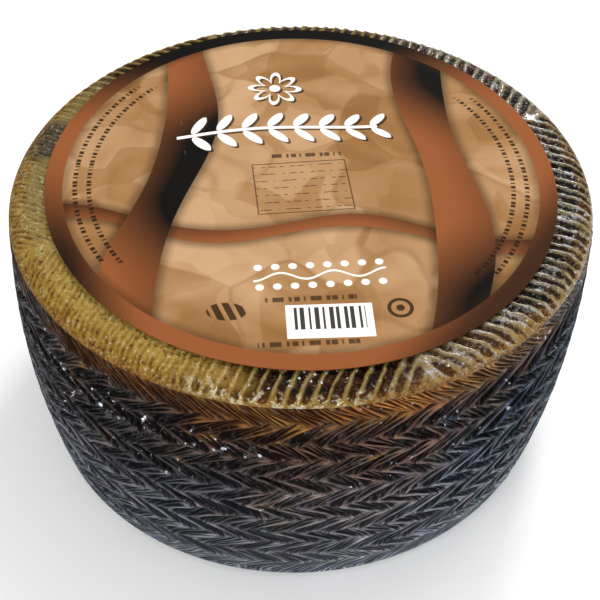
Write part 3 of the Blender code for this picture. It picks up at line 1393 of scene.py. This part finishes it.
        # Painted light and shade down each row, lighter at its upper seam and darker at its lower
        # seam.
        painted_row_light = graph.attribute("painted_row_light") * (0.24 - painted_shade_rows * 0.10)
        tone = tone + painted_row_light * bundled * (0.4 + zones.patch * 1.2)
        calm = zones.across * zones.z.rise(0.080, 0.088) * zones.z.fall(0.091, 0.096)
        tone = tone * (1.0 - calm * 0.30) + calm * 0.20
        return (tone * 1.22 - 0.10 - (sunk - 0.75).most(0.0) * 0.5).share() ** 2.0


class RimZones:
    """Fields that tell the stretches of the ribbed faces apart."""

    cloud_scale: float = 60.0
    patch_scale: float = 240.0
    grit_scale: float = 560.0
    fine_scale: float = 1100.0

    def __init__(self, graph: Graph, form: WheelForm) -> None:
        """Lay out the stretches.

        Args:
            graph: The material's graph.
            form: The wheel's sizes.
        """
        self.place = graph.place()
        self.x, self.y, self.z = graph.parts(self.place)
        self.radius = length(self.x, self.y)
        self.cosine, self.sine = self.x / form.rim, self.y / form.rim
        self.patch = graph.grain(self.place, self.patch_scale, 3.0)
        self.grit = graph.grain(self.place, self.grit_scale, 2.0)
        self.fine = graph.grain(self.place, self.fine_scale, 3.0, 0.6)
        cloudy = graph.grain(self.place, self.cloud_scale, 3.0) - 0.5
        patchy = self.patch - 0.5
        self.above = self.z.rise(0.04, 0.06)  # 1 on the top and 0 on the base
        self.edge = (self.radius + patchy * 0.005).rise(0.0905, 0.0940)
        dark = self.cosine * 0.924 + self.sine * 0.383 + cloudy * 0.3 + patchy * 0.2
        self.dark = dark.rise(-0.62, -0.45)
        self.right = (self.cosine + cloudy * 0.5).rise(0.2, 0.6)
        middle = (self.cosine + 0.04).size().fall(0.16, 0.42)
        self.front = middle * self.sine.fall(-0.5, 0.0) * self.above
        # The quarters' end in front on the right, and the stretch to the right of it.
        towards = (self.cosine * 0.574 - self.sine * 0.819) / (self.radius / form.rim)
        self.spot = (towards + patchy * 0.008).rise(0.988, 0.997)
        corner = (self.cosine * 0.56 - self.sine * 0.83 + patchy * 0.04).rise(0.94, 0.99)
        self.corner = corner.most(self.spot)
        self.lobe = (self.cosine * 0.866 - self.sine * 0.5).rise(0.90, 0.98)


@dataclass(frozen=True)
class RimFinish:
    """The ribbed faces: olive gold on the left, black grooves elsewhere, with painted glints and a
    painted sheen.
    """

    gold: Tint = Tint(srgb(161, 132, 62), srgb(122, 92, 36))
    far: Tint = Tint(srgb(136, 117, 70), srgb(104, 86, 48))
    stain: Tint = Tint(srgb(84, 74, 56), srgb(30, 28, 25))
    dark: Tint = Tint(srgb(131, 110, 58), srgb(19, 8, 4))
    right: Tint = Tint(srgb(112, 96, 58), srgb(17, 13, 10))
    corner: Tint = Tint(srgb(140, 116, 72), srgb(60, 40, 20))
    edge: Tint = Tint(srgb(148, 114, 42), srgb(70, 40, 11))
    umber: Tint = Tint(srgb(136, 114, 62), srgb(46, 31, 15))
    joint: Tint = Tint(srgb(138, 96, 46), srgb(62, 32, 11))
    cream: Colour = srgb(216, 210, 176)
    painted_sheen: Colour = srgb(184, 190, 200)
    rusty: Colour = srgb(104, 60, 22)
    liver: Colour = srgb(62, 26, 12)
    glint: Colour = srgb(226, 228, 240)
    pit: Colour = srgb(52, 30, 10)
    pit_scale: float = 420.0
    drop_scale: float = 560.0
    streak_scale: float = 800.0
    specular: float = 0.06
    roughness: float = 0.5
    coat_roughness: float = 0.11
    bump: float = 0.0011

    def material(self, form: WheelForm) -> bpy.types.Material:
        """Return the material of the ribbed faces.

        Args:
            form: The wheel's sizes.

        Returns:
            The material.
        """
        graph = Graph("ribbed_rind")
        zones = RimZones(graph, form)
        patch, grit, fine, edge = zones.patch, zones.grit, zones.fine, zones.edge
        right, front, dark = zones.right, zones.front, zones.dark
        sunk = graph.attribute("sunk") + (patch - 0.5) * 0.3 + (fine - 0.5) * 0.4
        sunk = sunk + right * 0.03 + front * 0.05
        mottled = (grit - 0.5) * 1.4 + (fine - 0.5) * 2.0 + (patch - 0.5) * 0.8
        tone = sunk.fall(0.16, 0.72)
        tone = (tone + mottled * (0.7 + edge * 0.2 - dark * 0.3 + right * 0.5)).share()
        hollow, ridge = self._tints(graph, zones, form)
        hollow, ridge = self._mottle(graph, zones, hollow, ridge)
        colour = self._crust(graph, zones, graph.mix(tone, hollow, ridge), sunk)
        pits = graph.cells(zones.place, self.pit_scale)
        colour = graph.mix(pits.fall(0.12, 0.30) * patch.rise(0.47, 0.58) * 0.8, colour, self.pit)
        # Painted glints: small pale blue-white spots painted into the base colour in front and on
        # the right.
        oil_drops_with_painted_glints = graph.cells(zones.place, self.drop_scale).fall(0.14, 0.30)
        oil_drops_with_painted_glints = oil_drops_with_painted_glints * grit.rise(0.50, 0.57) * front.most(right * 0.4) * dark * zones.above
        colour = graph.mix(oil_drops_with_painted_glints, colour, self.glint)
        colour = self._seam(graph, zones, colour)
        wet = right * (1.3 - edge * 0.6) + front * 0.6 + (patch - 0.5) * 1.2
        height = fine * 0.6 + grit * 0.45 + patch * 0.4 + pits.rise(0.0, 0.4) * 0.2
        return graph.finish(
            {
                "Specular IOR Level": self.specular,
                "Roughness": self.roughness,
                "Coat Roughness": self.coat_roughness,
            },
            {"Base Color": colour, "Coat Weight": (wet * tone).share()},
            height,
            self.bump,
        )

    def _tints(self, graph: Graph, zones: RimZones, form: WheelForm) -> list[Field]:
        """Return the colour of the grooves and of the ridges.

        Args:
            graph: The material's graph.
            zones: The stretches of the ribbed faces.
            form: The wheel's sizes.

        Returns:
            Both colours, the grooves' first.
        """
        right, corner, edge = zones.right, zones.corner, zones.edge
        towards = zones.sine * 0.174 - zones.cosine * 0.985 - (zones.radius / form.rim - 1.0)
        stain = (towards + (zones.patch - 0.5) * 0.006).rise(0.990, 0.997) * zones.above
        dull = (zones.cosine - zones.sine * 0.25).fall(-0.98, -0.62)
        rounded = edge * (0.85 - right * 0.25 - stain * 0.5)
        tints = []
        for name in ("hollow", "ridge"):
            colour = graph.mix(right, getattr(self.dark, name), getattr(self.right, name))
            colour = graph.mix(corner, colour, getattr(self.corner, name))
            gold = graph.mix(dull, getattr(self.gold, name), getattr(self.far, name))
            gold = graph.mix(stain, gold, getattr(self.stain, name))
            colour = graph.mix(zones.dark, gold, colour)
            outer = graph.mix(right - corner, getattr(self.edge, name), getattr(self.umber, name))
            outer = graph.tint(outer, zones.lobe * 0.4 + 1.0)
            tints.append(graph.mix(rounded, colour, outer))
        return tints

    def _mottle(
        self, graph: Graph, zones: RimZones, hollow: Field, ridge: Field
    ) -> tuple[Field, Field]:
        """Add pale specks and a painted sheen to the ridges, and stains to the grooves.

        Args:
            graph: The material's graph.
            zones: The stretches of the ribbed faces.
            hollow: The grooves' colour.
            ridge: The ridges' colour.

        Returns:
            Both colours.
        """
        patch, fine, right, corner = zones.patch, zones.fine, zones.right, zones.corner
        specks = (zones.grit * 0.4 + fine * 0.6).rise(0.54, 0.66) * (1.0 - zones.dark) * 0.55
        ridge = graph.mix(specks.share() * 0.85, ridge, self.cream)
        x, y = zones.x, zones.y
        # Painted sheen: broken pale streaks of highlight on the ridges on the right and at the
        # corner, fading at the rounded edge.
        streak = graph.join((x * 0.94 - y * 0.342) * 0.2, x * 0.342 + y * 0.94)
        streak = graph.grain(streak, self.streak_scale, 2.0)
        painted_sheen = (streak * 0.6 + fine * 0.4).rise(0.51, 0.59) * right.most(corner)
        painted_sheen = painted_sheen * (1.0 - zones.edge * (0.8 - zones.lobe * 0.5 - zones.spot * 0.6))
        ridge = graph.mix(painted_sheen * 0.65, ridge, self.painted_sheen)
        rusty = patch.rise(0.48, 0.60) * zones.edge * (right * 0.6).most(corner)
        hollow = graph.mix(rusty * 0.8, hollow, self.rusty)
        liver = patch.rise(0.46, 0.60) * zones.dark * (0.65 - right * 0.4)
        return graph.mix(liver, hollow, self.liver), ridge

    def _crust(self, graph: Graph, zones: RimZones, colour: Field, sunk: Field) -> Field:
        """Lay pale crumbs on the rounded edge in front.

        Args:
            graph: The material's graph.
            zones: The stretches of the ribbed faces.
            colour: The colour so far.
            sunk: How deep each place lies in a groove.

        Returns:
            The colour with the crumbs.
        """
        patch, grit = zones.patch, zones.grit
        crumbs = (zones.radius + (patch - 0.5) * 0.006).rise(0.0914, 0.0938) * zones.front
        crumbs = crumbs * (patch * 0.5 + grit * 0.5 - sunk * 0.03).rise(0.505, 0.565)
        crumbs = crumbs * (zones.fine.rise(0.35, 0.6) * 0.5 + 0.5)
        return graph.mix(crumbs.share() * 0.7, colour, self.cream)

    def _seam(self, graph: Graph, zones: RimZones, colour: Field) -> Field:
        """Brown the line where the rim turns into the side.

        Args:
            graph: The material's graph.
            zones: The stretches of the ribbed faces.
            colour: The colour so far.

        Returns:
            The colour with the brown line.
        """
        rust = (zones.z + (zones.patch - 0.5) * 0.002).fall(0.0992, 0.1016)
        rust = rust * (1.0 - zones.front * 0.6) * zones.above
        rust = rust * (1.0 - (zones.right - zones.corner).most(0.0) * 0.8)
        brown = graph.mix(zones.fine.rise(0.4, 0.6), self.joint.hollow, self.joint.ridge)
        return graph.mix(rust * 0.8, colour, brown)


@dataclass
class Label:
    """The round paper label.

    Attributes:
        form: The wheel's sizes.
        radius: Its radius.
        thickness: Its thickness.
        lift: How far it lies above the flat of the top, on the ridges.
        offset: How far its middle lies off the wheel's axis.
        columns: How many points each of its rings has.
        rings: How many rings it has.
        hole: How much of its radius the innermost ring leaves open to fill.
        cockle: How far it cockles up and down.
        ceiling: The most that it rises above the flat of the top.
    """

    form: WheelForm
    radius: float = 0.0854
    thickness: float = 0.0003
    lift: float = 0.0004
    offset: tuple[float, float] = (-0.0005, 0.0004)
    columns: int = 240
    rings: int = 24
    hole: float = 0.04
    cockle: float = 0.00012
    ceiling: float = 0.0009

    def build(self) -> bpy.types.Object:
        """Model the label as a thin disc that lies on the ridges.

        Returns:
            The label.
        """
        low = self.form.height + self.lift
        high = low + self.thickness
        closing = (1.0 - self.hole) / self.rings
        steps = [self.radius * (1.0 - closing * k) for k in range(self.rings + 1)]
        outline = [(r, high) for r in reversed(steps)] + [(r, low) for r in steps]
        disc = turned_shell("printed_label", self.columns, outline)
        places = points_of(disc)
        places[:, 2] += self.cockle * soft_noise(places * np.array((1.0, 1.0, 0.0)), 28.0, 2)
        places[:, 2] = np.clip(places[:, 2], None, self.form.height + self.ceiling)
        places[:, 0] += self.offset[0]
        places[:, 1] += self.offset[1]
        move_points(disc, places)
        disc.data.shade_smooth()
        disc.data.set_sharp_from_angle(angle=math.radians(40.0))
        return disc


@dataclass(frozen=True)
class Band:
    """A wavy printed band that runs from the border to the border.

    Attributes:
        middle: Where its middle line lies, in millimetres.
        swing: How far it swings to each side.
        stretch: Millimetres of its length to a radian of its swing.
        start: Where the swing starts, in radians.
        half: Half its width.
        gain: How much wider it is where it swings out.
        shade: How dark it is at its middle and at its ends.
    """

    middle: float
    swing: float
    stretch: float
    start: float
    half: float
    gain: float
    shade: tuple[float, float]


@dataclass(frozen=True)
class Spot:
    """Where a motif of the print lies.

    Attributes:
        right: Millimetres to the right of the label's middle.
        back: Millimetres behind it.
        slope: How much the motif climbs to the right.
        scale: What its lengths are multiplied by.
    """

    right: float
    back: float
    slope: float = 0.0
    scale: float = 1.0


@dataclass(frozen=True)
class Sheet:
    """The label's plane inside its material.

    Attributes:
        graph: The material's graph.
        x: Millimetres to the right of the label's middle.
        y: Millimetres behind it.
    """

    graph: Graph
    x: Field
    y: Field

    def radius(self) -> Field:
        """Return millimetres from the middle."""
        return length(self.x, self.y)

    def at(self, spot: Spot) -> tuple[Field, Field]:
        """Return millimetres along and across a motif from its middle.

        Args:
            spot: Where the motif lies.

        Returns:
            Millimetres along it and across it.
        """
        x, y = self.x - spot.right, self.y - spot.back
        along = x * spot.scale + y * spot.slope
        return along, y * spot.scale - x * spot.slope

    def moved(self, right: float, back: float) -> Sheet:
        """Return the plane with everything on it moved."""
        return Sheet(self.graph, self.x - right, self.y - back)


@dataclass(frozen=True)
class LabelPrint:
    """The print of the label: wavy bronze bands and pale sprigs on parchment."""

    parchment: Colour = srgb(150, 109, 66)
    pale: Colour = srgb(188, 151, 112)
    crease: Colour = srgb(120, 80, 40)
    copper: Colour = srgb(140, 81, 44)
    black: Colour = srgb(14, 12, 9)
    ink: Colour = srgb(40, 25, 14)
    white: Colour = srgb(240, 236, 230)
    border: float = 79.6
    left: Band = Band(-46.0, 6.5, 26.0, 0.6, 7.5, 2.0, (1.0, 0.10))
    right: Band = Band(47.0, 6.0, 27.0, 2.6, 7.5, 2.0, (0.05, 0.95))
    centre: Band = Band(-27.0, 5.0, 15.0, 0.3, 2.6, 0.6, (0.15, 0.5))
    panel: Spot = Spot(0.402, -6.444, 0.14)
    bars: Spot = Spot(9.949, -66.105, 0.09)
    strips: tuple[tuple[Spot, float], ...] = (
        (Spot(1.0, 9.8, 0.11), 12.0),
        (Spot(4.0, -57.4, 0.11), 14.0),
        (Spot(4.0, -75.2, 0.11), 15.0),
    )
    oval: Spot = Spot(-21.0, -64.0)
    ring: Spot = Spot(31.0, -60.0)
    flower: Spot = Spot(-11.0, 47.0)
    sprig: Spot = Spot(-41.585, 17.019, 0.174, 0.985)
    twig: Spot = Spot(6.727, -47.164, 0.12, 0.99)
    shadow: float = 0.9
    fold_scale: float = 16.0
    broad_scale: float = 22.0
    facet_scale: float = 30.0
    small_scale: float = 68.0
    paper_scale: float = 3000.0
    specular: float = 0.04
    roughness: float = 0.7
    bump: float = 0.00003

    def material(self, label: Label) -> bpy.types.Material:
        """Return the label's material.

        Args:
            label: The label.

        Returns:
            The material.
        """
        graph = Graph("label_print")
        place = graph.place()
        x, y, _ = graph.parts(place)
        x = (x - label.offset[0]) / MM
        y = (y - label.offset[1]) / MM
        sheet = Sheet(graph, x, y)
        colour = self._parchment(graph, place)
        for band, along, over in ((self.centre, x, y), (self.left, y, x), (self.right, y, x)):
            colour = self._band(graph, colour, band, along, over)
        colour = self._border(sheet, colour)
        colour = self._fine_print(sheet, colour)
        colour = self._panel(sheet, colour)
        colour = self._bars(sheet, colour)
        for spot, half in self.strips:
            colour = self._strip(sheet, colour, spot, half)
        colour = graph.mix(self._stamps(sheet) * 0.9, colour, self.ink)
        under = sheet.moved(self.shadow, -self.shadow)
        for plane, share, tint in ((under, 0.85, self.ink), (sheet, 1.0, self.white)):
            marks = self._flower(plane).most(self._sprig(plane))
            colour = graph.mix(marks * share, colour, tint)
        colour = graph.mix(self._twig(sheet), colour, self.white)
        return graph.finish(
            {"Roughness": self.roughness, "Specular IOR Level": self.specular},
            {"Base Color": colour},
            graph.grain(place, self.paper_scale, 2.0),
            self.bump,
        )

    def _parchment(self, graph: Graph, place: Field) -> Field:
        """Return the crumpled parchment ground.

        Args:
            graph: The material's graph.
            place: The Object coordinates.

        Returns:
            The colour.
        """
        bent = graph.bent(place, 30.0, 0.03)
        facets, small = (
            graph.parts(graph.facets(bent, scale))[0]
            for scale in (self.facet_scale, self.small_scale)
        )
        seams = graph.cells(bent, self.facet_scale, "DISTANCE_TO_EDGE")
        tone = graph.swirl(place, self.broad_scale, 2.0, 1.4) * 0.56
        tone = tone + facets * 0.30 + small * 0.14
        colour = graph.mix(tone.rise(0.34, 0.70), self.parchment, self.pale)
        colour = graph.mix(tone.fall(0.26, 0.42) * 0.6, colour, self.crease)
        share = seams.fall(0.0, 0.05) * small.rise(0.3, 0.7) * 0.3
        colour = graph.mix(share, colour, self.crease)
        wrinkles = graph.swirl(bent, self.facet_scale, 3.0, 0.6, "RIDGED_MULTIFRACTAL")
        colour = graph.mix(wrinkles.rise(0.55, 0.9) * 0.4, colour, self.pale)
        folds = graph.swirl(place, self.fold_scale, 2.0, 0.8, "RIDGED_MULTIFRACTAL")
        return graph.mix(folds.rise(0.6, 0.95) * 0.5, colour, self.crease)

    def _band(self, graph: Graph, colour: Field, band: Band, along: Field, over: Field) -> Field:
        """Lay one wavy band with its soft shadow.

        Args:
            graph: The material's graph.
            colour: The print so far.
            band: The band's sizes.
            along: Millimetres along it.
            over: Millimetres across it.

        Returns:
            The print with the band.
        """
        swing = (along / band.stretch + band.start).sine()
        lean = over - swing * band.swing - band.middle
        off = lean.size() - (swing * swing * band.gain + band.half)
        shade = along.size().rise(12.0, 58.0) * (band.shade[1] - band.shade[0]) + band.shade[0]
        shade = (shade + lean / band.half * 0.22).share()
        colour = graph.mix(off.fall(-0.5, 4.0) * 0.6, colour, self.ink)
        return graph.mix(off.fall(-0.35, 0.0), colour, graph.mix(shade, self.copper, self.black))

    def _border(self, sheet: Sheet, colour: Field) -> Field:
        """Lay the border ring, which is dark in three stretches.

        Args:
            sheet: The label's plane.
            colour: The print so far.

        Returns:
            The print with the ring.
        """
        x, y, radius = sheet.x, sheet.y, sheet.radius()
        shade = (y * 0.98 - x * 0.17).rise(30.0, 72.0)
        shade = shade.most((x * 0.94 + y * 0.34).fall(-84.0, -62.0) * y.fall(-45.0, 10.0) * 0.95)
        shade = shade.most((x * 0.82 - y * 0.57).rise(62.0, 82.0) * 0.85)
        ring = sheet.graph.mix(shade, self.copper, self.black)
        soft = radius.rise(self.border - 4.0, self.border + 0.5) * 0.5
        colour = sheet.graph.mix(soft, colour, self.ink)
        return sheet.graph.mix(radius.rise(self.border - 0.3, self.border + 0.1), colour, ring)

    def _fine_print(self, sheet: Sheet, colour: Field) -> Field:
        """Lay two rows of small marks along each side of the border.

        Args:
            sheet: The label's plane.
            colour: The print so far.

        Returns:
            The print with the marks.
        """
        arc = sheet.y.math("ARCTAN2", sheet.x) * 74.0
        radius = sheet.radius()
        row = (radius - 73.2).size() - 2.3
        beat = (arc * 3.1).sine() + (arc * 1.37).sine() * 0.8
        mark = row.size().fall(0.6, 0.95) * beat.rise(-0.3, 0.2)
        mark = mark * sheet.y.size().fall(44.0, 46.0) * radius.fall(77.0, 77.2)
        return sheet.graph.mix(mark * 0.95, colour, self.ink)

    def _panel(self, sheet: Sheet, colour: Field) -> Field:
        """Lay the small ruled panel.

        Args:
            sheet: The label's plane.
            colour: The print so far.

        Returns:
            The print with the panel.
        """
        u, v = sheet.at(self.panel)
        line = ((v / 3.6).math("FRACT") - 0.5).size().rise(0.42, 0.46)
        dash = ((u * 1.9).sine() + (u * 0.7 + v * 1.3).sine()).rise(-0.3, 0.2)
        inside = u.size().fall(16.0, 16.3) * v.size().fall(12.6, 12.9)
        outline = u.size().rise(15.6, 15.8).most(v.size().rise(12.2, 12.4))
        return sheet.graph.mix(inside * (line * dash).most(outline) * 0.75, colour, self.ink)

    def _bars(self, sheet: Sheet, colour: Field) -> Field:
        """Lay the small pale panel of upright bars.

        Args:
            sheet: The label's plane.
            colour: The print so far.

        Returns:
            The print with the panel.
        """
        u, v = sheet.at(self.bars)
        bars = ((u * 2.9).sine() + (u * 1.27).sine() * 0.7).rise(-0.15, 0.15)
        bars = bars * (v - 1.2).size().fall(4.3, 4.5) * u.size().fall(10.8, 11.0)
        panel = u.size().fall(13.0, 13.2) * v.size().fall(6.6, 6.8)
        colour = sheet.graph.mix(panel, colour, self.white)
        return sheet.graph.mix(bars * 0.95, colour, self.black)

    def _strip(self, sheet: Sheet, colour: Field, spot: Spot, half: float) -> Field:
        """Lay a strip of small dashes.

        Args:
            sheet: The label's plane.
            colour: The print so far.
            spot: Where the strip lies.
            half: Half its length.

        Returns:
            The print with the strip.
        """
        u, v = sheet.at(spot)
        dash = ((u * 2.7).sine() + (u * 1.1).sine()).rise(-0.5, 0.1)
        inside = u.size().fall(half, half + 0.3) * v.size().fall(0.7, 1.2)
        return sheet.graph.mix(dash * inside * 0.8, colour, self.ink)

    def _stamps(self, sheet: Sheet) -> Field:
        """Return where the striped oval and the ring are printed.

        Args:
            sheet: The label's plane.

        Returns:
            1 where they are printed.
        """
        u, v = sheet.at(self.oval)
        oval = ((u / 6.0) ** 2.0 + (v / 3.6) ** 2.0).fall(0.9, 1.1)
        oval = oval * (u * 1.7 + v * 0.8).sine().rise(-0.6, -0.1)
        reach = length(*sheet.at(self.ring))
        return oval.most((reach - 3.4).size().fall(0.45, 0.7)).most(reach.fall(1.1, 1.5))

    def _flower(self, sheet: Sheet) -> Field:
        """Return where the small flower is printed.

        Args:
            sheet: The label's plane.

        Returns:
            1 where it is printed.
        """
        u, v = sheet.at(self.flower)
        reach = length(u, v)
        petal = (v.math("ARCTAN2", u) * 4.0).cosine().size()
        outer = (reach - petal * 5.2 - 4.6).fall(-0.2, 0.2)
        return (outer * (reach - petal * 4.6 - 3.2).rise(-0.2, 0.2)).most(reach.fall(1.8, 2.2))

    def _sprig(self, sheet: Sheet) -> Field:
        """Return where the large leafy sprig is printed.

        Args:
            sheet: The label's plane.

        Returns:
            1 where it is printed.
        """
        u, v = sheet.at(self.sprig)
        v = v - (u / 15.0).sine() * 2.0
        side = v.size() / (1.0 - u * 0.004)
        cell = (u / 9.0).math("FRACT") * 9.0 - 3.2 - side * 0.55
        leaf = ((cell / 2.1) ** 2.0 + ((side - 5.2) / 4.4) ** 2.0).fall(0.85, 1.05)
        leaf = leaf * (u - 36.0).size().fall(35.9, 36.1)
        stem = v.size().fall(0.65, 0.85) * (u - 33.0).size().fall(35.0, 35.4)
        return leaf.most(stem)

    def _twig(self, sheet: Sheet) -> Field:
        """Return where the small twig with its berries is printed.

        Args:
            sheet: The label's plane.

        Returns:
            1 where it is printed.
        """
        u, v = sheet.at(self.twig)
        stem = (v - (u / 2.6).sine() * 1.5).size().fall(0.3, 0.5)
        cell = (u / 5.4).math("FRACT") * 5.4 - 2.7
        berry = (cell * cell + (v.size() - 4.2) ** 2.0).fall(1.3, 2.1)
        return stem.most(berry) * u.size().fall(20.4, 20.8)


@dataclass(frozen=True)
class Lamp:
    """A soft square lamp.

    Attributes:
        name: Its name.
        place: Where it hangs.
        size: Its width.
        power: Its power in watts.
    """

    name: str
    place: tuple[float, float, float]
    size: float
    power: float

    def hang(self, aim: Vector) -> None:
        """Hang the lamp so that it faces a place.

        Args:
            aim: The place.
        """
        data = bpy.data.lights.new(self.name, "AREA")
        data.shape = "SQUARE"
        data.size = self.size
        data.energy = self.power
        lamp = bpy.data.objects.new(self.name, data)
        lamp.location = self.place
        direction = aim - Vector(self.place)
        lamp.rotation_euler = direction.to_track_quat("-Z", "Y").to_euler()
        bpy.context.scene.collection.objects.link(lamp)


@dataclass(frozen=True)
class Studio:
    """The floor, the lights and the camera.

    Attributes:
        target: What the camera looks at.
        distance: How far the camera stands from it.
        elevation: How far the camera looks down.
        roll: How far it is turned about its line of sight.
        lens: Its focal length in millimetres.
        sensor: The width of its sensor in millimetres.
        daylight: Strength of the even light all round.
        aim: What the lamps face.
        lamps: The lamps.
        floor_size: Width of the floor.
        floor_gap: How far the floor lies under the wheel.
        floor_grey: How pale the floor is.
    """

    target: tuple[float, float, float] = (0.0003, 0.0, 0.0422)
    distance: float = 0.4187
    elevation: float = math.radians(46.95)
    roll: float = math.radians(1.914)
    lens: float = 66.65
    sensor: float = 36.0
    daylight: float = 0.70
    aim: tuple[float, float, float] = (0.0, 0.0, 0.05)
    lamps: tuple[Lamp, ...] = (
        Lamp("overhead", (0.30, 0.45, 0.95), 0.6, 3.0),
        Lamp("window", (0.33, 0.89, 0.87), 0.3, 5.5),
        Lamp("front", (-0.65, -0.75, 0.62), 0.5, 2.5),
        Lamp("flash", (0.08, -0.95, 0.78), 0.16, 3.5),
    )
    floor_size: float = 8.0
    floor_gap: float = 0.0002
    floor_grey: float = 0.96

    def build(self) -> None:
        """Lay the floor, hang the lights and stand the camera."""
        self._floor()
        self._lights()
        self._camera()

    def _floor(self) -> None:
        """Lay a plain pale floor."""
        bpy.ops.object.select_all(action="DESELECT")
        bpy.ops.mesh.primitive_plane_add(
            size=self.floor_size, location=(0.0, 0.0, -self.floor_gap)
        )
        floor = bpy.context.object
        floor.name = "floor"
        grey = (self.floor_grey, self.floor_grey, self.floor_grey, 1.0)
        paint = Graph("pale_floor").finish({"Base Color": grey, "Roughness": 0.8}, {}, None, 0.0)
        floor.data.materials.append(paint)

    def _lights(self) -> None:
        """Hang plain soft lights."""
        world = bpy.data.worlds.new("room")
        bpy.context.scene.world = world
        world.use_nodes = True
        backdrop = world.node_tree.nodes["Background"]
        backdrop.inputs["Color"].default_value = (1.0, 1.0, 1.0, 1.0)
        backdrop.inputs["Strength"].default_value = self.daylight
        for lamp in self.lamps:
            lamp.hang(Vector(self.aim))
        bpy.context.scene.view_settings.view_transform = "Standard"

    def _camera(self) -> None:
        """Stand the camera at the photograph's angle."""
        data = bpy.data.cameras.new("camera")
        data.lens = self.lens
        data.sensor_width = self.sensor
        data.clip_start = 0.01
        camera = bpy.data.objects.new("camera", data)
        target = Vector(self.target)
        back = Vector((0.0, -math.cos(self.elevation), math.sin(self.elevation)))
        camera.matrix_world = (
            Matrix.Translation(target + back * self.distance)
            @ (-back).to_track_quat("-Z", "Y").to_matrix().to_4x4()
            @ Matrix.Rotation(self.roll, 4, "Z")
        )
        bpy.context.scene.collection.objects.link(camera)
        bpy.context.scene.camera = camera


def centre_together(things: Sequence[bpy.types.Object]) -> None:
    """Move pieces as one so that their box is centred on the axis.

    Args:
        things: The pieces.
    """
    spots = [points_of(thing) for thing in things]
    every = np.concatenate(spots)
    shift = (every[:, :2].min(axis=0) + every[:, :2].max(axis=0)) / 2.0
    for thing, places in zip(things, spots):
        places[:, :2] -= shift
        move_points(thing, places)


def main() -> None:
    """Build and dress every piece."""
    logging.basicConfig(level=logging.INFO, format="%(name)s: %(message)s")
    form = WheelForm()
    wheel = Rind(form)
    body = wheel.build()
    face = PressedFace(form)
    top = face.top(form.rows[0].upper)
    base = face.base(wheel.recess_radius, wheel.recess_depth)
    centre_together((body, top, base))
    hand_over(body, Slot.RIND, SideFinish().material(form), "cheese_wheel")
    ribbed = RimFinish().material(form)
    hand_over(top, Slot.RIND, ribbed)
    hand_over(base, Slot.RIND, ribbed)
    label = Label(form)
    hand_over(label.build(), Slot.PAPER, LabelPrint().material(label), "paper_label")
    Studio().build()


if __name__ == "__main__":
    main()
